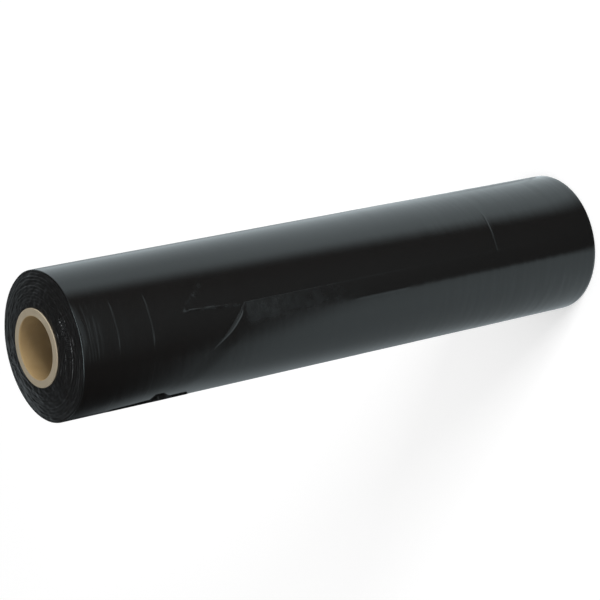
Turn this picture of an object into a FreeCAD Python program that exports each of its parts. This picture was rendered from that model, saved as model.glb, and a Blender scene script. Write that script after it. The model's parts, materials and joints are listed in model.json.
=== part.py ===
import FreeCAD, Part
import Sketcher
import math
import os

# A roll of black polythene pallet covers on a paperboard core, standing on its end.
# Millimetres, +Z up. The origin is on the floor under the roll's axis. The upper end is the one
# where the inner turns have slid out past the outer ones. A drop is measured down from the top
# edge of the outermost turn, and a bearing is an angle about +Z, counted from +X.

sizes = {
    # the wound film
    "webWidth": 800.0,         # height of every turn
    "rollDiameter": 183.0,
    "rimRound": 1.2,           # rounding of the outermost turn's two edges
    "telescope": 9.1,          # how far the innermost turns have slid up
    "turnScatter": 0.3,        # how unevenly the turns between lie
    # the creases that run round the outermost turn
    "creaseHeight": 0.4,
    "creaseWidth": 2.4,
    "creaseRoot": 0.3,
    "creaseDropUpper": 49.0,
    "creaseDropMiddle": 97.0,
    "creaseDropLower": 631.5,
    # the loose end of the film, with its upper corner torn off
    "tailBearing": -81.3,
    "tailLift": 0.5,           # how far the loose edge stands off the turn below
    "tailFade": 8.0,           # how far past a quarter turn the loose layer has sunk in
    "tearBearing": -26.8,
    "tearAngle": 45.7,
    "tearDrop": 173.0,         # where the tear's plane crosses the axis
    "tearMargin": 20.0,        # how far the cut runs on past the film
    # the paperboard core
    "boreDiameter": 76.2,
    "coreWall": 9.4,
    "coreStandOut": 1.6,       # beyond the innermost turns, at each end
    "coreEdge": 0.4,           # break of the sawn edges
}

turnBands = 12                 # bands of turns that stand out on the ends
domeCurve = 1.4                # over 1, the end is flatter at the core than at the rim

doc = FreeCAD.newDocument("PalletCoverRoll")
sheet = doc.addObject("Spreadsheet::Sheet", "Sizes")
for row, (name, number) in enumerate(sizes.items(), 1):
    sheet.set("A%d" % row, name)
    sheet.set("B%d" % row, str(number))
    sheet.setAlias("B%d" % row, name)
doc.recompute()


class Measure:
    # A number together with the formula over the sheet that gives it.

    def __init__(self, number, formula):
        self.number = number
        self.formula = formula

    def __add__(self, other):
        return Measure(self.number + other.number, "(%s + %s)" % (self.formula, other.formula))

    def __sub__(self, other):
        return Measure(self.number - other.number, "(%s - %s)" % (self.formula, other.formula))

    def __mul__(self, factor):
        return Measure(self.number * factor, "%s * %.6f" % (self.formula, factor))

    def __neg__(self):
        return Measure(-self.number, "-%s" % self.formula)


def measure(name):
    return Measure(sizes[name], "Sizes." + name)


rollRadius = measure("rollDiameter") * 0.5
boreRadius = measure("boreDiameter") * 0.5
coreRadius = boreRadius + measure("coreWall")
topEdge = measure("webWidth")


def bind(target, path, value):
    target.setExpression(path, value.formula)


def newBody(name, label):
    body = doc.addObject("PartDesign::Body", name)
    body.Label = label
    return body


def newSketch(body, name, role):
    sketch = body.newObject("Sketcher::SketchObject", name)
    planes = [plane for plane in body.Origin.OriginFeatures if plane.Role == role]
    sketch.AttachmentSupport = [(planes[0], "")]
    sketch.MapMode = "FlatFace"
    return sketch


def newDatum(sketch, kind, references, value):
    # A dimension in a sketch, driven by the sheet.
    number = sketch.addConstraint(Sketcher.Constraint(kind, *references, value.number))
    bind(sketch, "Constraints[%d]" % number, value)


def pin(sketch, line, end, across, up):
    # Holds a point at its distances from the sketch's origin. None means on that axis.
    if across is None:
        sketch.addConstraint(Sketcher.Constraint("PointOnObject", line, end, -2))
    else:
        newDatum(sketch, "DistanceX", (-1, 1, line, end), across)
    if up is None:
        sketch.addConstraint(Sketcher.Constraint("PointOnObject", line, end, -1))
    else:
        newDatum(sketch, "DistanceY", (-1, 1, line, end), up)


def drawOutline(sketch, corners):
    # A closed outline of straight lines through corners, each an (across, up) pair of measures.
    points = []
    for across, up in corners:
        x = across.number if across else 0.0
        y = up.number if up else 0.0
        points.append(FreeCAD.Vector(x, y, 0))
    lines = []
    for start, end in zip(points, points[1:] + points[:1]):
        lines.append(sketch.addGeometry(Part.LineSegment(start, end), False))
    for line, following in zip(lines, lines[1:] + lines[:1]):
        sketch.addConstraint(Sketcher.Constraint("Coincident", line, 2, following, 1))
    for line, (across, up) in zip(lines, corners):
        pin(sketch, line, 1, across, up)


def newRevolution(body, name, sketch):
    revolution = body.newObject("PartDesign::Revolution", name)
    revolution.Profile = sketch
    revolution.ReferenceAxis = (sketch, ["V_Axis"])
    revolution.Angle = 360
    return revolution


def circleEdges(shape, radius=None):
    # Names of a shape's circular edges, all or those of one radius.
    names = []
    for number, edge in enumerate(shape.Edges, 1):
        if isinstance(edge.Curve, Part.Circle):
            if radius is None or abs(edge.Curve.Radius - radius) < 1e-4:
                names.append("Edge%d" % number)
    return names


def bandSlide(band):
    # How far a band of turns has slid up: a dome from the rim to the core, plus a little scatter.
    share = band / (turnBands - 1)
    slide = measure("telescope") * (1 - share ** domeCurve)
    scatter = math.sin(2.4 * band) if 0 < band < turnBands - 1 else 0.0
    return slide + measure("turnScatter") * scatter


def makeTurns():
    # Every turn has the web's full width, so the lower end is dished as the upper end is domed.
    body = newBody("Turns", "turns")
    profile = newSketch(body, "TurnProfile", "XZ_Plane")
    depth = rollRadius - coreRadius
    lower = []
    upper = []
    for band in range(turnBands):
        inside = coreRadius + depth * (band / turnBands)
        outside = coreRadius + depth * ((band + 1) / turnBands)
        outermost = band == turnBands - 1
        foot = None if outermost else bandSlide(band)
        head = topEdge if outermost else topEdge + bandSlide(band)
        lower += [(inside, foot), (outside, foot)]
        upper += [(inside, head), (outside, head)]
    drawOutline(profile, lower + upper[::-1])
    wound = newRevolution(body, "Wound", profile)
    doc.recompute()

    rims = body.newObject("PartDesign::Fillet", "Rims")
    rims.Base = (wound, circleEdges(wound.Shape, rollRadius.number))
    bind(rims, "Radius", measure("rimRound"))

    creases = newSketch(body, "CreaseProfile", "XZ_Plane")
    root = rollRadius - measure("creaseRoot")
    crest = rollRadius + measure("creaseHeight")
    halfWidth = measure("creaseWidth") * 0.5
    for name in ("creaseDropUpper", "creaseDropMiddle", "creaseDropLower"):
        level = topEdge - measure(name)
        drawOutline(creases, [(root, level - halfWidth), (crest, level), (root, level + halfWidth)])
    creased = newRevolution(body, "Creased", creases)
    body.Tip = creased
    doc.recompute()
    mustChange(rims, creased)
    return body


def makeLooseLayer():
    # The last of the film. Its free edge is at the body's own +X, and from there the layer runs
    # clockwise and sinks into the turn below: its outside is a circle as wide as the roll, moved
    # sideways by the edge's lift.
    body = newBody("LooseLayer", "looseLayer")
    lift = measure("tailLift")
    inner = rollRadius - measure("rimRound")
    section = newSketch(body, "LooseSection", "XY_Plane")
    bind(section, "AttachmentOffset.Base.z", measure("rimRound"))
    fade = math.radians(90 + sizes["tailFade"])
    sunkX = lift.number + rollRadius.number * math.cos(fade)
    sunkY = -rollRadius.number * math.sin(fade)
    innerY = -math.sqrt(inner.number ** 2 - sunkX ** 2)
    zAxis = FreeCAD.Vector(0, 0, 1)
    outerCircle = Part.Circle(FreeCAD.Vector(lift.number, 0, 0), zAxis, rollRadius.number)
    innerCircle = Part.Circle(FreeCAD.Vector(0, 0, 0), zAxis, inner.number)
    outerArc = section.addGeometry(Part.ArcOfCircle(outerCircle, -fade, 0), False)
    innerArc = section.addGeometry(Part.ArcOfCircle(innerCircle, math.atan2(innerY, sunkX), 0), False)
    innerEdge = FreeCAD.Vector(inner.number, 0, 0)
    freeEdge = FreeCAD.Vector(lift.number + rollRadius.number, 0, 0)
    sunkInner = FreeCAD.Vector(sunkX, innerY, 0)
    sunkOuter = FreeCAD.Vector(sunkX, sunkY, 0)
    free = section.addGeometry(Part.LineSegment(innerEdge, freeEdge), False)
    sunk = section.addGeometry(Part.LineSegment(sunkInner, sunkOuter), False)
    for first, second in (((free, 1), (innerArc, 2)), ((free, 2), (outerArc, 2)),
                          ((sunk, 1), (innerArc, 1)), ((sunk, 2), (outerArc, 1)),
                          ((innerArc, 3), (-1, 1))):
        section.addConstraint(Sketcher.Constraint("Coincident", *first, *second))
    section.addConstraint(Sketcher.Constraint("PointOnObject", outerArc, 3, -1))
    section.addConstraint(Sketcher.Constraint("PointOnObject", free, 1, -1))
    section.addConstraint(Sketcher.Constraint("PointOnObject", free, 2, -1))
    section.addConstraint(Sketcher.Constraint("Vertical", sunk))
    newDatum(section, "DistanceX", (-1, 1, outerArc, 3), lift)
    newDatum(section, "Radius", (outerArc,), rollRadius)
    newDatum(section, "Radius", (innerArc,), inner)
    sunkFormula = "(%s - %s * sin(%s))" % (lift.formula, rollRadius.formula, "Sizes.tailFade * 1 deg")
    newDatum(section, "DistanceX", (-1, 1, sunk, 2), Measure(sunkX, sunkFormula))

    layer = body.newObject("PartDesign::Pad", "Layer")
    layer.Profile = section
    bind(layer, "Length", topEdge - measure("rimRound") * 2)
    doc.recompute()

    # The tear lies in a slanting plane, drawn side-on in a sketch that is turned about the axis.
    tear = newSketch(body, "TearProfile", "XZ_Plane")
    turned = FreeCAD.Rotation(FreeCAD.Vector(0, 1, 0), sizes["tearBearing"] - sizes["tailBearing"])
    tear.AttachmentOffset = FreeCAD.Placement(FreeCAD.Vector(), turned)
    tear.setExpression("AttachmentOffset.Rotation.Angle", "Sizes.tearBearing - Sizes.tailBearing")
    reach = rollRadius + measure("tearMargin")
    slope = math.tan(math.radians(sizes["tearAngle"]))
    fall = Measure(reach.number * slope, "%s * tan(Sizes.tearAngle * 1 deg)" % reach.formula)
    crossing = topEdge - measure("tearDrop")
    ceiling = topEdge + measure("tearMargin")
    low = [(-reach, crossing + fall), (reach, crossing - fall)]
    drawOutline(tear, low + [(reach, ceiling), (-reach, ceiling)])
    torn = body.newObject("PartDesign::Pocket", "Torn")
    torn.Profile = tear
    torn.Type = "ThroughAll"
    torn.SideType = "Symmetric"
    body.Tip = torn
    body.setExpression("Placement.Rotation.Angle", "Sizes.tailBearing")
    doc.recompute()
    mustChange(layer, torn)
    return body


def makeFilm():
    turns = makeTurns()
    looseLayer = makeLooseLayer()
    film = doc.addObject("Part::MultiFuse", "Film")
    film.Label = "film_roll"
    film.Shapes = [turns, looseLayer]
    film.Refine = True
    film.Placement = FreeCAD.Placement()
    doc.recompute()
    mustChange(turns, film)
    return film


def makeCore():
    # A spiral-wound paperboard tube, sawn a little longer than the web is wide.
    body = newBody("Core", "core_tube")
    section = newSketch(body, "CoreSection", "XY_Plane")
    for radius in (boreRadius, coreRadius):
        circle = Part.Circle(FreeCAD.Vector(), FreeCAD.Vector(0, 0, 1), radius.number)
        ring = section.addGeometry(circle, False)
        section.addConstraint(Sketcher.Constraint("Coincident", ring, 3, -1, 1))
        newDatum(section, "Radius", (ring,), radius)
    length = topEdge + measure("coreStandOut") * 2
    tube = body.newObject("PartDesign::Pad", "Tube")
    tube.Profile = section
    bind(tube, "Length", length)
    doc.recompute()

    ends = body.newObject("PartDesign::Chamfer", "SawnEnds")
    ends.Base = (tube, circleEdges(tube.Shape))
    bind(ends, "Size", measure("coreEdge"))

    body.Tip = ends
    bind(body, "Placement.Base.z", measure("telescope") - measure("coreStandOut"))
    doc.recompute()
    mustChange(tube, ends)
    return body


def mustChange(before, after):
    # A cut that points away from the solid shows no error, so the volumes are compared.
    if abs(before.Shape.Volume - after.Shape.Volume) < 1.0:
        raise RuntimeError("%s changed nothing" % after.Name)


def export(nodes):
    for item in doc.Objects:
        if "Invalid" in item.State or "Error" in item.State:
            raise RuntimeError("%s failed: %s" % (item.Name, item.State))
    for node in nodes:
        shape = node.Shape
        if shape.isNull() or not shape.isValid() or len(shape.Solids) != 1:
            raise RuntimeError("%s is not one good solid" % node.Label)
    os.makedirs("parts", exist_ok=True)
    for node in nodes:
        node.Shape.exportStep("parts/%s.step" % node.Label)
        box = node.Shape.BoundBox
        print(node.Label, round(node.Shape.Volume / 1000, 2), "cm3", len(node.Shape.Faces), "faces",
              [round(limit, 3) for limit in (box.XMin, box.YMin, box.ZMin, box.XMax, box.YMax, box.ZMax)])


export([makeFilm(), makeCore()])
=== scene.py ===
import bpy
import json
import math
import numpy as np
from mathutils import Matrix, Vector


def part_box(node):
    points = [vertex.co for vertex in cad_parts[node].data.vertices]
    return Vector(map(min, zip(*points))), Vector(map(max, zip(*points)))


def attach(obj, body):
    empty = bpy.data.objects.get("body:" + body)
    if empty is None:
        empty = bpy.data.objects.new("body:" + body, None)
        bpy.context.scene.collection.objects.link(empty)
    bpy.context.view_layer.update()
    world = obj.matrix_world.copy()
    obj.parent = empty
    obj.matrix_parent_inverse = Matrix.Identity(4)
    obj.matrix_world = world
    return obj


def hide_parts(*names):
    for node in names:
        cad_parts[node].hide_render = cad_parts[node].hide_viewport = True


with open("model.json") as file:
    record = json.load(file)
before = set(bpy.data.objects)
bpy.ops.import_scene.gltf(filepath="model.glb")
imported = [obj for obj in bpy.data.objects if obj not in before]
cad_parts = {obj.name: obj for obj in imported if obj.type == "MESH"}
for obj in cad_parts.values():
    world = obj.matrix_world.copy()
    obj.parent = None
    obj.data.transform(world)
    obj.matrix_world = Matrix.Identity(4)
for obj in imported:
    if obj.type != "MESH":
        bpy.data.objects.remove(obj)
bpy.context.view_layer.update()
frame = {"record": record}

# A roll of black polythene pallet covers on a paperboard core, standing on its end. Metres, +Z up.
# "around" is an angle in degrees, clockwise from +X as seen from above, and "drop" is the distance
# down from the top edge of the outermost turn.

filmLow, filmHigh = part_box("film_roll")
coreLow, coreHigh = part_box("core_tube")
mounts = {mount["name"]: mount for mount in frame["record"]["mounts"]}
creaseHeight = 0.0004                     # the creases are the widest part of the film
standOut = coreHigh.z - filmHigh.z        # of the core, past the innermost turns
telescope = coreLow.z + standOut          # how far the innermost turns have slid up
webWidth = filmHigh.z - telescope
rollRadius = filmHigh.x - creaseHeight
coreRadius = coreHigh.x
boreRadius = mounts["core_bore"]["dims"]["r_mm"] / 1000
print("roll: radius %.4f, web %.4f, slid %.4f, core %.4f, bore %.4f"
      % (rollRadius, webWidth, telescope, coreRadius, boreRadius))


# Shared shapes

def smooth(share):
    # 0 below 0, 1 above 1, and 3 t squared less 2 t cubed between
    share = np.clip(share, 0, 1)
    return share * share * (3 - 2 * share)


def ramp(value, start, end):
    # smoothly from 0 at start to 1 at end, which may be the lower of the two
    return smooth((value - start) / (end - start))


def window(value, start, full, ending, end):
    # 0 up to start, 1 from full to ending, and 0 again from end on
    return ramp(value, start, full) * ramp(value, end, ending)


def hump(offset):
    # one raised wave of a cosine: 1 at 0, and 0 from -1 down and from 1 up
    return 0.5 + 0.5 * np.cos(np.pi * np.clip(offset, -1, 1))


def arc(around, centre, halfSpan, fade):
    # 0 from halfSpan degrees off the centre on, and smoothly up to 1 over the fade inside that.
    # A fade longer than halfSpan leaves the centre itself below 1.
    away = np.abs((around - centre + 180) % 360 - 180)
    return smooth((halfSpan - away) / fade)


def softNoise(first, second, cells, seed):
    # A lattice of random numbers from -1 to 1 that repeats after cells, smoothed by cubic
    # B-splines: a value is the sum of its 4 by 4 nearest numbers, each times its two weights.
    lattice = np.random.default_rng(seed).uniform(-1, 1, cells)
    weights = []
    corners = []
    for place in (first, second):
        corner = np.floor(place)
        t = place - corner
        corners.append(corner.astype(int))
        weights.append(((1 - t) ** 3 / 6, (3 * t ** 3 - 6 * t ** 2 + 4) / 6,
                        (-3 * t ** 3 + 3 * t ** 2 + 3 * t + 1) / 6, t ** 3 / 6))
    total = 0
    for i in range(4):
        for j in range(4):
            number = lattice[(corners[0] + i - 1) % cells[0], (corners[1] + j - 1) % cells[1]]
            total = total + weights[0][i] * weights[1][j] * number
    return total


def grain(kind, around, along):
    # Soft noise at these angles, and at these drops or radii. A kind of grain is a row: its cells
    # round the roll, the length of one, how many of them before it repeats, and its seed.
    turnCells, cellLength, repeat, seed = kind
    return softNoise(around / 360 * turnCells, along / cellLength, (turnCells, repeat), seed)


def turned(radius, around, height):
    # The points at these radii, angles and heights.
    radians = np.radians(around)
    return np.stack(np.broadcast_arrays(radius * np.cos(radians), -radius * np.sin(radians), height), -1)


def gridFaces(rows, columns, first=0, closed=True):
    # Quads between neighbouring rows of a grid. A closed grid also joins its last column to its
    # first. With columns that run clockwise and rows that run up, they face outwards.
    across = np.arange(columns if closed else columns - 1)
    down = np.arange(rows - 1)[:, None]
    here = down * columns + across
    beside = down * columns + (across + 1) % columns
    faces = np.stack([here, here + columns, beside + columns, beside], -1)
    return first + faces.reshape(-1, 4)


def newPiece(name, points, faces, material):
    # A mesh object at the origin from an array of points and a list of arrays of faces.
    mesh = bpy.data.meshes.new(name)
    corners = np.concatenate([block.ravel() for block in faces])
    totals = np.concatenate([np.full(len(block), block.shape[1]) for block in faces])
    mesh.vertices.add(len(points))
    mesh.vertices.foreach_set("co", points.astype(np.float32).ravel())
    mesh.loops.add(len(corners))
    mesh.loops.foreach_set("vertex_index", corners.astype(np.int32))
    mesh.polygons.add(len(totals))
    mesh.polygons.foreach_set("loop_start", (np.cumsum(totals) - totals).astype(np.int32))
    mesh.update(calc_edges=True)
    mesh.validate()
    mesh.shade_smooth()
    mesh.materials.append(material)
    piece = bpy.data.objects.new(name, mesh)
    bpy.context.scene.collection.objects.link(piece)
    return piece


def addValues(piece, name, values):
    # A number for each point of the mesh, for its material to read by this name.
    data = piece.data.attributes.new(name, "FLOAT", "POINT").data
    data.foreach_set("value", values.astype(np.float32))


# Materials

def newMaterial(name, looks=None):
    # A material and its Principled shader, with the looks that are the same all over it.
    material = bpy.data.materials.new(name)
    material.use_nodes = True
    shader = material.node_tree.nodes["Principled BSDF"]
    for socket, value in (looks or {}).items():
        shader.inputs[socket].default_value = value
    return material, shader


def addNode(owner, kind, inputs=None, **settings):
    # A node in a material's or the world's tree, with its settings and its inputs' fixed values.
    node = owner.node_tree.nodes.new("ShaderNode" + kind)
    for name, value in settings.items():
        setattr(node, name, value)
    for socket, value in (inputs or {}).items():
        node.inputs[socket].default_value = value
    return node


def link(owner, *joints):
    # A joint is a node and its output, then the node and the input that it feeds.
    for giver, output, taker, socket in joints:
        owner.node_tree.links.new(giver.outputs[output], taker.inputs[socket])


def axisDistance(material, place):
    # The distance from the roll's axis: the length of the Object coordinates with z left out.
    flat = addNode(material, "VectorMath", {1: (1, 1, 0)}, operation="MULTIPLY")
    length = addNode(material, "VectorMath", operation="LENGTH")
    link(material, (place, "Object", flat, 0), (flat, "Vector", length, 0))
    return length


gloss = {
    "streakScale": (14, 14, 120),
    "streakDepth": 0.0007,        # where the film is slack
    "tightShare": 0.086,          # of that depth where it is tight
    "roughness": (0.10, 0.20),    # over the streaks
    "wrinkleScale": 420,
    "wrinkleDepth": 0.0007,       # where the film is wholly crumpled
    "wrinkleRoughness": 0.45,     # added there
}


def filmMaterial():
    # Black polythene: nearly all that shows is gloss, over fine streaks that run round the roll and
    # deepen where the mesh's slack attribute is high. Its crumple attribute adds fine wrinkles and
    # dulls it.
    material, shader = newMaterial("blackFilm", {
        "Base Color": (0.0047, 0.0037, 0.0033, 1),
        "IOR": 1.52,
        "Specular Tint": (0.93, 1, 1, 1),
    })
    place = addNode(material, "TexCoord")
    stretch = addNode(material, "Mapping", {"Scale": gloss["streakScale"]})
    streaks = addNode(material, "TexNoise", {"Scale": 1, "Detail": 4})
    slackness = addNode(material, "Attribute", attribute_name="slack")
    depth = addNode(material, "MapRange", {"To Min": gloss["tightShare"]})
    swell = addNode(material, "Math", operation="MULTIPLY")
    bump = addNode(material, "Bump", {"Strength": 0.5, "Distance": gloss["streakDepth"]})
    smoothest, dullest = gloss["roughness"]
    haze = addNode(material, "MapRange", {"To Min": smoothest, "To Max": dullest})
    link(material, (place, "Object", stretch, "Vector"), (stretch, "Vector", streaks, "Vector"),
         (slackness, "Fac", depth, "Value"), (depth, "Result", swell, 0), (streaks, "Fac", swell, 1),
         (swell, "Value", bump, "Height"), (streaks, "Fac", haze, "Value"))

    crumpled = addNode(material, "Attribute", attribute_name="crumple")
    wrinkles = addNode(material, "TexNoise", {"Scale": gloss["wrinkleScale"], "Detail": 3})
    height = addNode(material, "Math", operation="MULTIPLY")
    fine = addNode(material, "Bump", {"Strength": 1, "Distance": gloss["wrinkleDepth"]})
    rough = addNode(material, "Math", {1: gloss["wrinkleRoughness"]}, operation="MULTIPLY_ADD")
    link(material, (place, "Object", wrinkles, "Vector"), (wrinkles, "Fac", height, 0),
         (crumpled, "Fac", height, 1), (height, "Value", fine, "Height"),
         (bump, "Normal", fine, "Normal"), (crumpled, "Fac", rough, 0), (haze, "Result", rough, 2),
         (rough, "Value", shader, "Roughness"), (fine, "Normal", shader, "Normal"))
    return material


def shadedLipMaterial():
    # The lip's film, made dull and barely reflective so that it renders near black: painted shade, standing
    # for the curled edge seen in shadow.
    return newMaterial("shadedLipFilm", {
        "Base Color": (0.0052, 0.005, 0.0048, 1),
        "Roughness": 0.4,
        "Specular IOR Level": 0.1,
    })[0]


def edgesMaterial():
    # The cut edges of some eight hundred turns, seen end on: black, duller, in fine rings.
    material, shader = newMaterial("filmEdges", {
        "Base Color": (0.0046, 0.004, 0.0038, 1),
        "IOR": 1.5,
        "Specular Tint": (1, 0.94, 0.92, 1),
    })
    place = addNode(material, "TexCoord")
    rings = addNode(material, "TexNoise", {"Scale": 900, "Detail": 3}, noise_dimensions="1D")
    bump = addNode(material, "Bump", {"Strength": 0.6, "Distance": 0.00012})
    haze = addNode(material, "MapRange", {"To Min": 0.28, "To Max": 0.45})
    link(material, (axisDistance(material, place), "Value", rings, "W"),
         (rings, "Fac", bump, "Height"), (rings, "Fac", haze, "Value"),
         (haze, "Result", shader, "Roughness"), (bump, "Normal", shader, "Normal"))
    return material


board = {
    "boreTints": ((0.28, 0.192, 0.09, 1), (0.38, 0.268, 0.13, 1)),       # its dark and pale clouds
    "sawnTints": ((0.28, 0.235, 0.165, 1), (0.37, 0.315, 0.23, 1)),
    "sawnFrom": (0.0002, 0.001),  # past the bore, where one pair gives way to the other
}


def boardMaterial():
    # Unbleached paperboard, clouded and flecked with fibres: brown in the bore, greyer where it is
    # sawn.
    material, shader = newMaterial("paperboard", {"Roughness": 0.8, "Specular IOR Level": 0.2})
    place = addNode(material, "TexCoord")
    clouds = addNode(material, "TexNoise", {"Scale": 60, "Detail": 5})
    fibres = addNode(material, "TexNoise", {"Scale": 900, "Detail": 3})
    start, end = board["sawnFrom"]
    sawn = addNode(material, "MapRange", {"From Min": boreRadius + start, "From Max": boreRadius + end})
    colour = addNode(material, "Mix", data_type="RGBA")
    for side, tints in (("A", board["boreTints"]), ("B", board["sawnTints"])):
        tint = addNode(material, "Mix", dict(zip("AB", tints)), data_type="RGBA")
        link(material, (clouds, "Fac", tint, "Factor"), (tint, "Result", colour, side))
    bump = addNode(material, "Bump", {"Strength": 0.35, "Distance": 0.0001})
    link(material, (place, "Object", clouds, "Vector"), (place, "Object", fibres, "Vector"),
         (axisDistance(material, place), "Value", sawn, "Value"),
         (sawn, "Result", colour, "Factor"), (colour, "Result", shader, "Base Color"),
         (fibres, "Fac", bump, "Height"), (bump, "Normal", shader, "Normal"))
    return material


# The wound film

film = {
    "columns": 180,               # round the side
    "fineArounds": ((58, 78, 0.7), (78, 84, 0.35)),   # from, to, step
    "rows": 130,                  # down the side
    "fineDrops": (0.14, 0.23, 0.0022),   # from, to, step, across the mark of the edge
    "rimRows": 5,
    "rimRound": 0.0012,
    "fineRimDrop": 0.03,          # the rippled strip under the upper rim
    "fineRimStep": 0.0005,
    "creases": (                  # drop, centre around, half of the stretch where it stands highest
        (0.049, 78.5, 20),
        (0.096, 80, 22),
        (0.6315, 65, 27),
    ),
    "creaseHalfWidth": 0.0012,
    "creaseRows": 13,             # over three half widths
    "creaseFade": 14,             # degrees
    "creaseFaint": 0.06,          # share of its height elsewhere
    "creaseWander": 0.0006,
    "faintCreases": (0.6501, 0.7542),
    "faintHeight": 0.00006,
    "waveHeights": (0.00002, 0.00014),   # where the film is tight, and where it is slack
    "waveDrops": (0.33, 0.53),    # between which it slackens
    "streakDrops": (0.42, 0.62),  # and between which its streaks deepen
    "unevenness": 0.00015,
    "rippleHeight": 0.0001,
    "rippleArc": (84, 34, 16),    # centre, half span and fade, in degrees
    "rippleDrops": (0.03, 0.016),
    "shoulder": 0.0006,           # how far the outermost turns lean in at the upper rim
    "shoulderDrop": 0.006,
    "shoulderArc": (-50, 36, 16),
    "rimRise": 0.0018,            # how far the upper rim stands up at the front
    "rimRiseDrop": 0.025,
    "rimRiseArc": (82, 50, 36),
    "rimShare": 0.86,             # of the radius: outside it the end moves with its rim
    "bands": 12,                  # of turns that stand out on the ends
    "bandRows": (0.03, 0.12, 0.35, 0.65, 0.88, 0.97),
    "bandShare": 0.25,            # of the slide, and the rest of it is a smooth dome
    "endColumnsPerColumn": 2,
    "coreGap": 0.00005,           # between the end's innermost ring and the core
    "rimClear": 1.2,              # times the rim's round, within which the end has no rings
    "footRowStep": 3,             # the lower end has every third of the upper one's rings
    "domeCurve": 1.4,
    "scatter": 0.0003,
    "scatterPace": 2.4,
    "ringHeights": (0.0005, 0.0006),     # of the coarse and the fine ones
    "ringShares": (0, 0.05, 0.94, 1),    # of the way from the core out to the rim
    "foldCount": 108,             # pleats round the end
    "foldWander": 1.5,            # how many of them their pace runs ahead or behind
    "foldHeight": 0.0009,
    "foldRows": (0.5, 2.4, 1.3),  # the middle, the swing and the most of each row's strength
    "foldPatches": (              # arc, share of the radius, half width, strength
        ((85, 30, 14), 0.76, 0.13, 1),
        ((250, 22, 12), 0.78, 0.2, 0.6),
    ),
    "wanderGrain": (60, 0.2, 4, 18),
    "waveGrain": (22, 0.005, 170, 11),
    "unevenGrain": (9, 0.06, 14, 12),
    "rippleGrain": (24, 0.0014, 40, 13),
    "ringGrains": ((50, 0.0026, 50, 21), (120, 0.0016, 70, 22)),
    "foldPaceGrain": (16, rollRadius / 8, 12, 23),
    "foldRowGrain": (72, 0.003, 40, 24),
}


def crossedCrease(around, drop, start, end, halfWidth):
    # A ridge along a straight line on the unrolled side, from start to end, each (around, drop):
    # a cosine hump over the distance to the line, which fades over its last tenth at each end.
    scale = np.radians(rollRadius)
    x = (around - start[0]) * scale
    y = drop - start[1]
    dx = (end[0] - start[0]) * scale
    dy = end[1] - start[1]
    length = math.hypot(dx, dy)
    along = (x * dx + y * dy) / length
    away = (x * dy - y * dx) / length
    return hump(away / halfWidth) * window(along, 0, 0.1 * length, 0.9 * length, length)


def sideRelief(around, drop):
    # How far the side stands off the roll's radius: the creases that run round, waves of slack
    # that grow towards the lower end, ripples under the upper rim, and the shoulder at its edge.
    relief = 0
    wander = film["creaseWander"] * grain(film["wanderGrain"], around, drop)
    for level, centre, halfSpan in film["creases"]:
        high = arc(around, centre, halfSpan, film["creaseFade"])
        strength = film["creaseFaint"] + (1 - film["creaseFaint"]) * high
        relief = relief + creaseHeight * strength * hump((drop - level - wander) / film["creaseHalfWidth"])
    for level in film["faintCreases"]:
        relief = relief + film["faintHeight"] * hump((drop - level) / film["creaseHalfWidth"])
    tight, slackest = film["waveHeights"]
    waveHeight = tight + (slackest - tight) * ramp(drop, *film["waveDrops"])
    relief = relief + waveHeight * grain(film["waveGrain"], around, drop)
    relief = relief + film["unevenness"] * grain(film["unevenGrain"], around, drop)
    rippled = arc(around, *film["rippleArc"]) * ramp(drop, *film["rippleDrops"])
    relief = relief + film["rippleHeight"] * grain(film["rippleGrain"], around, drop) * rippled
    return relief - shoulder(around) * ramp(drop, film["shoulderDrop"], 0)


def shoulder(around):
    return film["shoulder"] * arc(around, *film["shoulderArc"])


def rimRise(around):
    return film["rimRise"] * arc(around, *film["rimRiseArc"])


def slack(around, drop):
    # How slack the film is, 0 to 1: it grows from the middle of the roll down to the lower third.
    return ramp(drop, *film["streakDrops"]) + 0 * around


# The mark of the next turn's edge, under the torn corner, and a branch that leaves it

mark = {
    "ends": ((79.2, 0.142), (82.4, 0.227)),      # around, drop
    "height": 0.0009,
    "halfWidth": 0.0024,
    "creasing": (1, 0.6, 0.85, 1.35),            # the middle and swing of its height, least and most
    "grain": (120, 0.005, 80, 14),
    "branch": ((80, 0.1435), (75, 0.1485), (70, 0.16), (60.5, 0.177)),
    "branchHeight": 0.00035,
    "branchHalfWidth": 0.0028,
    "branchCreasing": (0.8, 0.8, 0.4, 1.1),
    "branchGrain": (120, 0.005, 80, 19),
}


def varied(middle, swing, least, most, noise):
    # The middle and the swing times the noise, kept between the least and the most.
    return np.clip(middle + swing * noise, least, most)


def markShare(around, drop, halfWidth):
    return crossedCrease(around, drop, *mark["ends"], halfWidth)


def branchShare(around, drop, halfWidth):
    # The branch has three straight lengths.
    share = 0
    for start, end in zip(mark["branch"][:-1], mark["branch"][1:]):
        share = np.maximum(share, crossedCrease(around, drop, start, end, halfWidth))
    return share


def imprint(around, drop):
    # How far the mark, wrinkled along its length, and its patchy branch stand off the side.
    broken = varied(*mark["creasing"], grain(mark["grain"], around, drop))
    patchy = varied(*mark["branchCreasing"], grain(mark["branchGrain"], around, drop))
    return (mark["height"] * broken * markShare(around, drop, mark["halfWidth"])
            + mark["branchHeight"] * patchy * branchShare(around, drop, mark["branchHalfWidth"]))


# Where the film is finely wrinkled

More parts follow.
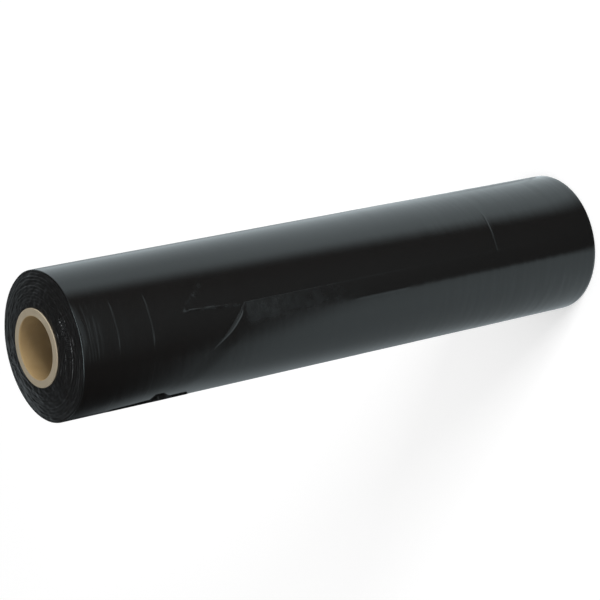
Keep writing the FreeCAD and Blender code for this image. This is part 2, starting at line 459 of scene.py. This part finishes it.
wrinkled = {
    "strip": 0.75,                # how much of it there is under the upper rim
    "stripArc": (79, 16, 18),
    "stripDrops": (0.034, 0.01),
    "stripStreaks": (0.55, 1.1, 0, 1),   # middle and swing, least and most
    "stripGrain": (20, 0.0017, 30, 17),
    "clouds": (0.35, 1.2, 0, 1),
    "cloudGrain": (144, 0.005, 80, 16),
    "patch": 0.25,                # of the clouds round the mark
    "patchArc": (75, 9, 12),
    "patchDrops": (0.1, 0.13, 0.19, 0.24),
    "mark": 0.6,                  # of the clouds along it
    "markHalfWidth": 0.0045,
    "branch": 0.35,
    "branchHalfWidth": 0.006,
    "corner": (0.36, 0.45),       # in the torn corner of the loose layer, and of the clouds there
    "cornerArounds": (80.8, 82, 90, 103),
    "cornerDrops": (0.224, 0.234, 0.27, 0.47),
    "cornerPower": 1.2,
    "behind": 0.2,                # past the corner, under the tear
    "behindArc": (101, 4, 8),
    "behindDrops": (0.235, 0.265, 0.32, 0.4),
}


def crumple(around, drop):
    # How finely wrinkled the film is, 0 to 1: in a streaky strip under the upper rim, along the
    # mark and its branch with faint clouds round them, in the torn corner and a little behind it.
    strip = arc(around, *wrinkled["stripArc"]) * ramp(drop, *wrinkled["stripDrops"])
    streaks = varied(*wrinkled["stripStreaks"], grain(wrinkled["stripGrain"], around, drop))
    clouds = varied(*wrinkled["clouds"], grain(wrinkled["cloudGrain"], around, drop))
    cloudy = wrinkled["patch"] * arc(around, *wrinkled["patchArc"]) * window(drop, *wrinkled["patchDrops"])
    cloudy = cloudy + wrinkled["mark"] * markShare(around, drop, wrinkled["markHalfWidth"])
    cloudy = cloudy + wrinkled["branch"] * branchShare(around, drop, wrinkled["branchHalfWidth"])
    corner = window(around, *wrinkled["cornerArounds"]) * window(drop, *wrinkled["cornerDrops"])
    even, clouded = wrinkled["corner"]
    cornered = corner ** wrinkled["cornerPower"] * (even + clouded * clouds)
    behind = arc(around, *wrinkled["behindArc"]) * window(drop, *wrinkled["behindDrops"])
    share = wrinkled["strip"] * strip * streaks + cloudy * clouds + cornered + wrinkled["behind"] * behind
    return np.clip(share, 0, 1)


# The film's ends

def endSlide(radius, around):
    # How far the turns at this radius have slid up: the bands of the dome, eased towards a smooth
    # dome, with crumpled rings of finer turns, in short lengths.
    share = (radius - coreRadius) / (rollRadius - coreRadius)
    steps = film["bands"] - 1
    band = np.clip(np.floor(share * film["bands"]), 0, steps)
    stepped = telescope * (1 - (band / steps) ** film["domeCurve"])
    inside = (band > 0) & (band < steps)
    stepped = stepped + film["scatter"] * np.where(inside, np.sin(film["scatterPace"] * band), 0)
    even = np.clip((share * film["bands"] - 0.5) / steps, 0, 1)
    dome = telescope * (1 - even ** film["domeCurve"])
    slide = film["bandShare"] * stepped + (1 - film["bandShare"]) * dome
    rings = 0
    for height, kind in zip(film["ringHeights"], film["ringGrains"]):
        rings = rings + height * grain(kind, around, radius)
    return slide + rings * window(share, *film["ringShares"])


def pleats(radius, around):
    # Radial folds of the slid-out turns, in short rows: a wave round the roll whose pace wanders,
    # strongest at the front and in a patch at the back.
    ahead = film["foldWander"] * grain(film["foldPaceGrain"], around, radius)
    fold = np.sin(2 * np.pi * (around / 360 * film["foldCount"] + ahead))
    middle, swing, most = film["foldRows"]
    fold = fold * varied(middle, swing, 0, most, grain(film["foldRowGrain"], around, radius))
    where = 0
    for span, share, halfWidth, strength in film["foldPatches"]:
        where = where + strength * arc(around, *span) * hump((radius / rollRadius - share) / halfWidth)
    return film["foldHeight"] * fold * where


def makeFilm(sideMaterial, endMaterial):
    # One closed skin. Its columns run round the roll, and they double on the upper end.
    arounds = [np.arange(film["columns"]) * 360 / film["columns"]]
    for start, end, step in film["fineArounds"]:
        arounds.append(np.arange(start, end, step))
    around = np.unique(np.round(np.concatenate(arounds), 3))

    # The side, from the lower rim up to the upper one, with its two rounded edges
    rim = film["rimRound"]
    bend = np.radians(np.linspace(0, 90, film["rimRows"]))
    drops = [np.linspace(rim, webWidth - rim, film["rows"]),
             np.arange(rim, film["fineRimDrop"], film["fineRimStep"]), np.arange(*film["fineDrops"])]
    for crease in film["creases"]:
        drops.append(crease[0] + film["creaseHalfWidth"] * np.linspace(-1.5, 1.5, film["creaseRows"]))
    drop = np.unique(np.round(np.concatenate(drops), 5))[::-1]
    sideDrop = np.concatenate([webWidth - rim * (1 - np.cos(bend)), drop[1:-1], rim * (1 - np.sin(bend))])
    inset = np.concatenate([rim * (1 - np.sin(bend)), 0 * drop[1:-1], rim * (1 - np.cos(bend))])
    sideDrop = sideDrop[:, None]
    sideRadius = rollRadius - inset[:, None] + sideRelief(around, sideDrop) + imprint(around, sideDrop)
    rise = rimRise(around) * ramp(sideDrop, film["rimRiseDrop"], 0)
    side = turned(sideRadius, around, webWidth - sideDrop + rise)

    # The upper end, from the rim in to the core
    bands = np.arange(film["bands"])[:, None]
    shares = ((bands + np.array(film["bandRows"])) / film["bands"]).ravel()
    radius = coreRadius + shares * (rollRadius - coreRadius)
    outermost = rollRadius - rim * film["rimClear"]
    radius = np.concatenate([[coreRadius + film["coreGap"]], radius[radius < outermost]])[::-1]
    doubled = film["endColumnsPerColumn"]
    gaps = np.diff(np.append(around, 360))
    endAround = (around[:, None] + gaps[:, None] * np.arange(doubled) / doubled).ravel()
    endRadius = radius[:, None] + 0 * endAround
    outward = ramp(endRadius, film["rimShare"] * rollRadius, rollRadius)
    lean = shoulder(endAround) * outward
    slide = endSlide(endRadius, endAround) + pleats(endRadius, endAround) + rimRise(endAround) * outward
    upper = turned(endRadius - lean, endAround, webWidth + slide)

    # The lower end, from the core out to the rim
    footRadius = radius[::-film["footRowStep"]]
    foot = turned(footRadius[:, None] + 0 * around, around, endSlide(footRadius[:, None], around))

    blocks = [foot, side, upper]
    starts = np.cumsum([0] + [block.shape[0] * block.shape[1] for block in blocks])
    points = np.concatenate([block.reshape(-1, 3) for block in blocks])
    columns = len(around)
    across = np.arange(columns)
    beside = (across + 1) % columns
    lowerFaces = gridFaces(len(footRadius) + len(sideDrop), columns)
    upperFaces = gridFaces(len(radius), columns * doubled, starts[2])

    def joint(ring, fineRing, flip):
        # Where the columns double: for each coarse edge a quad and a triangle on the fine ring.
        fine = fineRing + across * doubled
        middle = fine + 1
        nextFine = fineRing + beside * doubled
        quad = np.stack([ring + across, middle, nextFine, ring + beside], -1)
        triangle = np.stack([ring + across, fine, middle], -1)
        if flip:
            return [quad[:, ::-1], triangle[:, ::-1]]
        return [quad, triangle]

    lastSideRing = starts[2] - columns
    lastEndRing = starts[3] - columns * doubled
    faces = [lowerFaces, upperFaces] + joint(lastSideRing, starts[2], False) + joint(0, lastEndRing, True)
    piece = newPiece("woundFilm", points, faces, sideMaterial)
    piece.data.materials.append(endMaterial)
    sideFaces = (len(sideDrop) - 1) * columns
    footFaces = len(footRadius) * columns
    slots = np.ones(len(piece.data.polygons), np.int32)
    slots[footFaces:footFaces + sideFaces] = 0
    piece.data.polygons.foreach_set("material_index", slots)
    for name, shareAt in (("crumple", crumple), ("slack", slack)):
        values = np.zeros(len(points))
        values[starts[1]:starts[2]] = shareAt(around, sideDrop).ravel()
        addValues(piece, name, values)
    return piece


# The loose layer: the last of the film, whose free edge runs down the front

layer = {
    "freeAround": 81.3,
    "fineArounds": (0, 0.04, 0.1, 0.2, 0.35, 0.55, 0.8, 1.2),    # columns past the free edge
    "coarseColumns": 80,
    "span": 98,                   # degrees from the free edge to where the layer has sunk in
    "fineBeyonds": (0, 0.05, 0.15, 0.3, 0.5, 0.8, 1.2, 1.7, 2.3, 3, 3.8, 4.6, 5.4, 6.2, 7, 7.8,
                    8.6, 9.4, 10.2),     # rows below the tear, in millimetres
    "rows": 240,
    "under": 0.0003,              # how far its inner face lies inside the roll
    "lift": 0.0005,               # of the free edge
    "liftReach": (0.34, 0.5),     # drops between which the free edge settles
    "settling": 0.75,             # the share of its lift that it loses there
    "tucking": 0.8,               # and the share that it loses at the tear, away from the corner
    "tuckArounds": (100, 112),
    "tuckReach": 0.035,
    "edgeRound": 0.0004,
    "freeRoundWidth": 0.0006,
    "tearRoundWidth": 0.0005,
    "tearAround": 26.8,
    "tearDrop": 0.173,
    "tearAngle": 45.7,
    "beadHeight": 0.0014,         # of the stretched edge of the tear
    "beadHalfWidth": 0.0048,
    "beadAtCorner": 0.35,         # its size there
    "beadGrows": (82, 92),        # arounds between which it grows to its whole size
    "beadFades": (114, 98),       # and those between which it dies away, the far one first
    "beadLies": 0.85,             # its middle, in half widths down from the tear
    "leastBead": 0.1,             # share of its width that is left where it has died away
    "puckerHeight": 0.0003,
    "puckerArc": (88, 11, 7),
    "puckerDrops": (0.2, 0.23, 0.27, 0.37),
    "puckerGrain": (120, 0.0042, 60, 15),
    "foldEnds": ((96, 0.39), (96, 0.482)),
    "foldHeight": 0.0003,
    "foldHalfWidth": 0.0016,
}


def tearDrop(around):
    # The tear lies in a slanting plane: its drop is that on the axis plus the slope times the
    # radius times the cosine of the angle from the plane's own direction.
    slope = math.tan(math.radians(layer["tearAngle"]))
    return layer["tearDrop"] + slope * rollRadius * np.cos(np.radians(around - layer["tearAround"]))


def puckers(around, drop):
    # Fine puckers of the stretched film behind the tear's corner, and a short fold further down.
    cells = grain(layer["puckerGrain"], around, drop)
    corner = arc(around, *layer["puckerArc"]) * window(drop, *layer["puckerDrops"])
    fold = crossedCrease(around, drop, *layer["foldEnds"], layer["foldHalfWidth"])
    return layer["puckerHeight"] * cells * corner + layer["foldHeight"] * fold


def edgeFall(inward, width):
    # How far a rounded edge falls away at these distances in from it: a quarter of an ellipse.
    return layer["edgeRound"] * (1 - np.sqrt(1 - (1 - np.clip(inward / width, 0, 1)) ** 2))


def makeLooseLayer(material):
    # A skin of two faces. The outer one has the side's own relief, lifted off the roll towards the
    # free edge, and a bead along the tear; the inner one lies just inside the roll.
    fine = np.array(layer["fineArounds"])
    coarse = np.linspace(fine[-1], layer["span"], layer["coarseColumns"])
    past = np.unique(np.round(np.concatenate([fine, coarse]), 3))
    around = layer["freeAround"] + past
    fineDrop = np.array(layer["fineBeyonds"]) / 1000
    share = np.linspace(0, 1, layer["rows"])[1:, None]
    top = tearDrop(around)
    length = webWidth - film["rimRound"] - top
    beyond = np.concatenate([fineDrop[:, None] + 0 * around, fineDrop[-1] + share * (length - fineDrop[-1])])
    drop = top + beyond
    settled = layer["settling"] * ramp(drop, *layer["liftReach"])
    lift = layer["lift"] * (1 - settled) * np.cos(np.radians(past))
    tucked = ramp(around, *layer["tuckArounds"]) * ramp(beyond, layer["tuckReach"], 0)
    lift = lift * (1 - layer["tucking"] * tucked)
    fall = edgeFall(np.radians(past) * rollRadius, layer["freeRoundWidth"])
    fall = fall + edgeFall(beyond, layer["tearRoundWidth"])
    beadSize = layer["beadAtCorner"] + (1 - layer["beadAtCorner"]) * ramp(around, *layer["beadGrows"])
    beadSize = beadSize * ramp(around, *layer["beadFades"])
    beadWidth = layer["beadHalfWidth"] * np.maximum(beadSize, layer["leastBead"])
    bead = layer["beadHeight"] * beadSize * hump(beyond / beadWidth - layer["beadLies"])
    relief = sideRelief(around, drop) + puckers(around, drop)
    outer = turned(rollRadius + relief + lift + bead - fall, around, webWidth - drop)
    inner = turned(rollRadius - layer["under"] + relief, around, webWidth - drop)

    piece = newPiece("looseLayer", *shell(outer, inner), material)
    for name, shareAt in (("crumple", crumple), ("slack", slack)):
        addValues(piece, name, np.tile(shareAt(around, drop).ravel(), 2))
    return piece


def shell(outer, inner):
    # The points and faces of a closed skin: an outer and an inner grid joined along their four
    # edges. Columns run clockwise and rows run down.
    rows, columns = outer.shape[:2]
    count = rows * columns
    index = np.arange(count).reshape(rows, columns)
    border = np.concatenate([index[0, :-1], index[:-1, -1], index[-1, :0:-1], index[:0:-1, 0]])
    following = np.roll(border, -1)
    outerFaces = gridFaces(rows, columns, 0, closed=False)[:, ::-1]
    innerFaces = gridFaces(rows, columns, count, closed=False)
    wall = np.stack([border, border + count, following + count, following], -1)
    points = np.concatenate([outer.reshape(-1, 3), inner.reshape(-1, 3)])
    return points, [outerFaces, innerFaces, wall]


# The lip: where the torn edge has curled up, low on the roll's side

lip = {
    "rows": 251,
    "frontColumns": 12,
    "backColumns": 12,
    "line": 171.8,                # its crest lies in the plane that touches the roll here
    "reach": (0.055, 0.18),       # drops between which it runs
    "ends": (0.008, 0.014),       # lengths over which it grows and dies away
    "leastSpan": 1,               # degrees from its foot to the line, at its very ends
    "span": (8.1, 11.6),          # and added to that, at the top and from the hump on
    "humpRise": (0.1135, 0.1205),
    "humpFall": (0.129, 0.145),
    "humpSpan": 7.2,
    "leastWidth": 0.2,            # degrees its front face takes where it is lowest
    "widthShare": 0.92,           # of the way to the line, whose height sets the rest of its width
    "rise": 320,                  # degrees its front face takes for each metre of height
    "fall": 8,                    # and degrees for its back
    "sunk": 0.0006,               # how far its edges lie inside the roll
}


def planeHeight(left):
    # How far a plane that touches the roll stands off it, this many degrees before it touches:
    # R / cos(left) - R.
    return rollRadius * (1 / np.cos(np.radians(left)) - 1)


def makeLip(material):
    # A ridge along the roll with a steep face towards the front and a hump midway. Its foot lies an
    # angle before the line: left = least + ends * span + hump. Its crest lies in a plane.
    top, bottom = lip["reach"]
    drop = np.linspace(top, bottom, lip["rows"])[:, None]
    ends = smooth((drop - top) / lip["ends"][0]) * smooth((bottom - drop) / lip["ends"][1])
    span = np.interp(drop, (top, lip["humpRise"][0]), lip["span"])
    humped = ramp(drop, *lip["humpRise"]) * (1 - ramp(drop, *lip["humpFall"]))
    left = lip["leastSpan"] + ends * span + lip["humpSpan"] * humped
    start = lip["line"] - left
    width = lip["leastWidth"] + lip["rise"] * planeHeight(lip["widthShare"] * left)
    height = planeHeight(left - width)
    front = np.linspace(0, 1, lip["frontColumns"])
    back = np.linspace(0, 1, lip["backColumns"])[1:]
    around = np.concatenate([start + width * front, start + width + lip["fall"] * back], 1)
    share = np.concatenate([front, 1 - smooth(back)])
    radius = rollRadius + height * share - lip["sunk"] * (1 - share)
    outer = turned(radius, around, webWidth - drop)
    inner = turned(0 * radius + rollRadius - 2 * lip["sunk"], around, webWidth - drop)
    piece = newPiece("tornLip", *shell(outer, inner), material)
    piece.data.shade_flat()
    return piece


# The paperboard core

core = {
    "rows": 380,                  # down the bore
    "coarseColumns": 108,
    "fineColumns": (0.3, 0.6, 0.9, 1.2, 1.8, 2.6),    # beside the seam, in millimetres
    "edge": 0.0004,               # break of the sawn edges
    "seamTurns": 8,               # of the spiral seam, over the core's length
    "seamAround": 231,            # where the seam meets the ends
    "seamDepth": 0.00022,
    "seamHalfWidth": 0.0012,
    "plies": 9,                   # rings that show on the sawn ends
    "rowsPerPly": 4,
    "plyStep": 0.00006,
}


def makeCore(material):
    # A closed tube whose columns follow the ply's spiral, so that the seam runs along one of them.
    top = coreHigh.z
    bottom = coreLow.z
    edge = core["edge"]
    ring = np.linspace(0, 1, core["plies"] * core["rowsPerPly"] + 1)
    endRadius = boreRadius + edge + (coreRadius - boreRadius - 2 * edge) * ring
    plyHeight = core["plyStep"] * (0.5 + 0.5 * np.cos(2 * np.pi * ring * core["plies"]))
    boreHeight = np.linspace(top - edge, bottom + edge, core["rows"])
    radius = np.concatenate([endRadius[::-1], np.full(core["rows"], boreRadius), endRadius,
                             np.full(2, coreRadius)])
    height = np.concatenate([top - plyHeight[::-1], boreHeight, bottom + plyHeight,
                             [bottom + edge, top - edge]])
    onBore = (radius == boreRadius)[:, None]
    fine = np.degrees(np.array(core["fineColumns"]) / 1000 / boreRadius)
    coarse = np.linspace(fine[-1], 360 - fine[-1], core["coarseColumns"])
    fromSeam = np.concatenate([[0], fine[:-1], coarse, 360 - fine[:-1][::-1]])
    climb = (top - height[:, None]) / (top - bottom) * core["seamTurns"] * 360
    around = core["seamAround"] + climb + fromSeam
    away = np.radians(np.minimum(fromSeam, 360 - fromSeam)) * boreRadius
    groove = core["seamDepth"] * hump(away / core["seamHalfWidth"])
    points = turned(radius[:, None] + groove * onBore, around, height[:, None])
    rows, columns = points.shape[:2]
    last = (rows - 1) * columns
    across = np.arange(columns)
    beside = (across + 1) % columns
    faces = gridFaces(rows, columns)
    closing = np.stack([last + across, across, beside, last + beside], -1)
    return newPiece("boardCore", points.reshape(-1, 3), [faces, closing], material)


# Studio: a pale floor, soft light, and pale boards on a dark ground that only gloss sees. Its
# azimuths run the other way, from +X towards +Y. A pair of rows holds azimuths or elevations, and
# the values at them.

studio = {
    "floorHalfSize": 12,
    "floorGlow": 0.38,            # added for the camera alone, so that the floor is white
    "worldLevel": 0.7,
    "glowColour": (0.885, 1, 1.05, 1),
    "matReach": 3.5,
    "matHeight": 0.0005,
    "matCells": 220,
    "matCrowding": 5,             # how much finer it is near the roll
    "rightEdge": -19.3,           # azimuth of the board's front edge on the +X side, a metre out
    "rightTurn": 13.4,            # and how far it turns for each e times the distance
    "rightFade": 24,              # degrees
    "leftEdgeAround": 110.2,      # front edge of the board on the -X side
    "leftEdgeShift": 0.022,       # from the axis
    "leftEdgeFades": (0.01, 0.05),       # at the axis, and added for each metre out
    "leftReach": ((95, 105, 130, 150, 170, 215, 250, 262), (1, 1.05, 1.33, 1.27, 1.13, 1, 0.7, 0.65)),
    "leftFade": 0.42,
    "meeting": 95,                # azimuth behind the roll where the two boards meet
    "boards": ((-40, 3, 50, 62, 73, 85, 95, 105, 125, 145, 175, 230, 262),
               (1.05, 1.16, 1.1, 0.97, 0.48, 0.23, 0.21, 0.32, 0.34, 0.48, 0.49, 0.79, 0.8)),
    "boardFar": ((0, 8, 45, 56, 68, 80, 92, 97), (0.85, 0.79, 0.92, 0.97, 1.2, 1.2, 0.92, 1)),
    "farFrom": (0.6, 1.1),        # distances between which that comes in
    "boardNear": ((56, 68, 80, 92, 97), (1, 0.45, 0.58, 0.72, 1)),
    "nearFrom": (0.45, 0.1),
    "footShade": 0.32,            # a darker patch beside the roll's foot
    "footFrom": (0.135, 0.105),
    "footArc": (9, 5, 8),
    "ground": ((-60, -39, 0, 95, 130, 190, 230, 266, 285, 300),
               (0.15, 0.1, 0.04, 0.05, 0.03, 0.03, 0.06, 0.15, 0.17, 0.15)),
    "groundShare": 0.65,          # of that at the roll's foot, growing to the whole of it
    "groundWhole": 0.7,           # this far out
    "paleFrom": (1.5, 1.8),       # distances between which the front turns as pale as the sky
    "paleArc": (285, 48, 16),
    "skyRadius": 7,
    "skyRows": 90,
    "skyColumns": 240,
    "skyLow": -40,                # degrees
    "skyFront": 0.75,             # near the horizon in front
    "skyFrontBelow": (16, 2),     # elevations between which that comes in
    "skyFrontArc": (-58, 62, 20),
    "skyBack": ((-40, 0, 16, 32, 60, 90), (0.24, 0.24, 0.2, 0.09, 0.035, 0.03)),
    "softboxes": (                # azimuth, elevation, half width, half height, tone
        (103, 4, 7, 5, 0.9),
        (58, 27, 9, 8, 0.9),
        (142, 27, 9, 8, 0.9),
        (55, -4, 22, 12, 0.95),
        (-92, 50, 66, 10, 8),
    ),
    "softboxEdge": (1.3, 0.7),    # of its half size, between which its tone comes in
}


def matTone(x, y):
    # Brightness of the ground as gloss sees it, by azimuth and distance: a board on the +X side
    # with a soft front edge that turns with the logarithm of the distance, one on the -X side with
    # a straight front edge and a soft outer one, and a dark ground between them that darkens away
    # from the front. The turn is the azimuth counted from -60 to 300.
    azimuth = np.degrees(np.arctan2(y, x))
    turn = (azimuth + 60) % 360 - 60
    distance = np.hypot(x, y)
    tone = np.interp(turn, *studio["boards"])
    far = np.interp(turn, *studio["boardFar"]) - 1
    tone = tone + tone * ramp(distance, *studio["farFrom"]) * far
    fromSide = np.degrees(np.arctan2(y, x - rollRadius))
    near = np.interp(fromSide, *studio["boardNear"]) - 1
    tone = tone + tone * ramp(distance, *studio["nearFrom"]) * near
    foot = ramp(distance, *studio["footFrom"]) * arc(azimuth, *studio["footArc"])
    tone = tone * (1 - studio["footShade"] * foot)

    edge = studio["rightEdge"] + studio["rightTurn"] * np.log(np.maximum(distance, 0.01))    # no log of 0
    right = smooth((azimuth - edge) / studio["rightFade"] + 0.5) * (azimuth < studio["meeting"])
    direction = math.radians(-studio["leftEdgeAround"])
    side = x * math.sin(direction) - y * math.cos(direction)
    sharpest, softer = studio["leftEdgeFades"]
    front = smooth((side + studio["leftEdgeShift"]) / (sharpest + softer * distance) + 0.5)
    reach = np.interp(turn, *studio["leftReach"])
    left = front * smooth((reach - distance) / studio["leftFade"] + 0.5) * (turn >= studio["meeting"])

    outward = smooth(distance / studio["groundWhole"])
    ground = studio["groundShare"] + (1 - studio["groundShare"]) * outward
    ground = ground * np.interp(turn, *studio["ground"])
    pale = ramp(distance, *studio["paleFrom"]) * arc(turn, *studio["paleArc"])
    ground = ground + (studio["skyFront"] - ground) * pale
    return ground + (tone - ground) * np.clip(right + left, 0, 1)


def skyTone(azimuth, elevation):
    # Brightness of the sky as gloss sees it: pale at the front horizon, dimmer at the back, dark
    # overhead, with softboxes that are smooth rounded patches.
    tone = np.interp(elevation, *studio["skyBack"])
    low = ramp(elevation, *studio["skyFrontBelow"]) * arc(azimuth, *studio["skyFrontArc"])
    tone = tone + (studio["skyFront"] - tone) * low
    for boxAzimuth, boxElevation, halfWidth, halfHeight, level in studio["softboxes"]:
        across = ((azimuth - boxAzimuth + 180) % 360 - 180) / halfWidth
        up = (elevation - boxElevation) / halfHeight
        out = (across ** 4 + up ** 4) ** 0.25
        tone = tone + (level - tone) * ramp(out, *studio["softboxEdge"])
    return tone


def glowMaterial(name):
    # Emission whose strength is the mesh's own tone attribute.
    material, shader = newMaterial(name)
    nodes = material.node_tree.nodes
    nodes.remove(shader)
    tone = addNode(material, "Attribute", attribute_name="tone")
    glow = addNode(material, "Emission", {"Color": studio["glowColour"]})
    link(material, (tone, "Fac", glow, "Strength"), (glow, "Emission", nodes["Material Output"], "Surface"))
    return material


def onlyForGloss(piece, tone):
    # Gives a studio surface its tones, and shows it to gloss alone.
    addValues(piece, "tone", tone)
    piece.visible_camera = False
    piece.visible_diffuse = False
    piece.visible_shadow = False
    piece.visible_transmission = False


def makeStudio():
    half = studio["floorHalfSize"]
    corners = np.array([[-half, -half, 0], [half, -half, 0], [half, half, 0], [-half, half, 0]], float)
    material, shader = newMaterial("paleFloor", {
        "Base Color": (0.8, 0.8, 0.8, 1),
        "Roughness": 0.9,
        "Specular IOR Level": 0,
        "Emission Color": (1, 1, 1, 1),
    })
    path = addNode(material, "LightPath")
    glow = addNode(material, "Math", {1: studio["floorGlow"]}, operation="MULTIPLY")
    link(material, (path, "Is Camera Ray", glow, 0), (glow, "Value", shader, "Emission Strength"))
    floor = newPiece("floor", corners, [np.array([[0, 1, 2, 3]])], material)
    floor.visible_glossy = False

    # The mat is finest near the roll: its lines lie at the hyperbolic sine of even steps.
    size = studio["matCells"] + 1
    crowding = studio["matCrowding"]
    lines = studio["matReach"] * np.sinh(crowding * np.linspace(-1, 1, size)) / math.sinh(crowding)
    x, y = np.meshgrid(lines, lines)
    points = np.stack([x, y, 0 * x + studio["matHeight"]], -1).reshape(-1, 3)
    mat = newPiece("groundMat", points, [gridFaces(size, size, 0, closed=False)], glowMaterial("groundTone"))
    onlyForGloss(mat, matTone(points[:, 0], points[:, 1]))

    # The sky is a sphere round it all, cut off below.
    elevation = np.linspace(studio["skyLow"], 90, studio["skyRows"])[:, None]
    azimuth = np.arange(studio["skyColumns"]) * 360 / studio["skyColumns"]
    radius = studio["skyRadius"] * np.cos(np.radians(elevation))
    height = studio["skyRadius"] * np.sin(np.radians(elevation)) + webWidth / 2
    points = turned(radius, -azimuth, height).reshape(-1, 3)
    faces = gridFaces(studio["skyRows"], studio["skyColumns"])
    sky = newPiece("sky", points, [faces], glowMaterial("skyTone"))
    onlyForGloss(sky, skyTone(azimuth, elevation).ravel())


def makeWorld():
    # White to the camera and plain soft light to matt surfaces. Gloss sees the sky piece instead.
    world = bpy.data.worlds.new("studioWorld")
    world.use_nodes = True
    world.cycles_visibility.glossy = False
    bpy.context.scene.world = world
    background = world.node_tree.nodes["Background"]
    background.inputs["Color"].default_value = (1, 1, 1, 1)
    path = addNode(world, "LightPath")
    level = addNode(world, "Mix", {"A": studio["worldLevel"], "B": 1})
    link(world, (path, "Is Camera Ray", level, "Factor"), (level, "Result", background, "Strength"))


def pointing(bearing, elevation):
    # The unit vector at this bearing, from +X towards +Y, and this elevation, both in degrees.
    bearing = math.radians(bearing)
    elevation = math.radians(elevation)
    level = math.cos(elevation)
    return Vector((math.cos(bearing) * level, math.sin(bearing) * level, math.sin(elevation)))


lamps = {
    "keyLamp": {"bearing": -50, "elevation": 17, "distance": 2.6, "size": 1.1, "power": 54},
}


def makeLamps():
    # Area lamps that face the middle of the roll.
    middle = Vector((0, 0, webWidth / 2))
    for name, lamp in lamps.items():
        towards = pointing(lamp["bearing"], lamp["elevation"])
        light = bpy.data.lights.new(name, "AREA")
        light.shape = "SQUARE"
        light.size = lamp["size"]
        light.energy = lamp["power"]
        holder = bpy.data.objects.new(name, light)
        holder.visible_glossy = False             # the sky piece has its softboxes
        holder.location = middle + towards * lamp["distance"]
        holder.rotation_mode = "QUATERNION"
        holder.rotation_quaternion = towards.to_track_quat("Z", "Y")
        bpy.context.scene.collection.objects.link(holder)


# Camera, rolled about its line of sight so that the roll seems to lie

view = {
    "bearing": -83.493,
    "elevation": 35.19,
    "distance": 2.928,            # from the aim
    "aim": (0, -0.0702, 0.4755),
    "roll": -101.779,
    "lens": 143.33,
    "sensor": 36,
}


def makeCamera():
    back = pointing(view["bearing"], view["elevation"])
    data = bpy.data.cameras.new("camera")
    data.lens = view["lens"]
    data.sensor_width = view["sensor"]
    camera = bpy.data.objects.new("camera", data)
    camera.location = Vector(view["aim"]) + back * view["distance"]
    camera.rotation_mode = "QUATERNION"
    level = back.to_track_quat("Z", "Y").to_matrix()
    camera.rotation_quaternion = (level @ Matrix.Rotation(math.radians(view["roll"]), 3, "Z")).to_quaternion()
    bpy.context.scene.collection.objects.link(camera)
    bpy.context.scene.camera = camera


makeCamera()
makeStudio()
makeWorld()
makeLamps()
print("studio made")

blackFilm = filmMaterial()
woundFilm = makeFilm(blackFilm, edgesMaterial())
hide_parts("film_roll")
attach(woundFilm, "root")
print("wound film made:", len(woundFilm.data.polygons), "faces")

looseLayer = makeLooseLayer(blackFilm)
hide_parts("film_roll")
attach(looseLayer, "root")
print("loose layer made:", len(looseLayer.data.polygons), "faces")

# The lip's dull, near-black material is painted shade for the curled edge.
tornLip = makeLip(shadedLipMaterial())
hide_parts("film_roll")
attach(tornLip, "root")
print("torn lip made:", len(tornLip.data.polygons), "faces")

boardCore = makeCore(boardMaterial())
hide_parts("core_tube")
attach(boardCore, "root")
print("core made:", len(boardCore.data.polygons), "faces")

bpy.context.scene.view_settings.view_transform = "Standard"
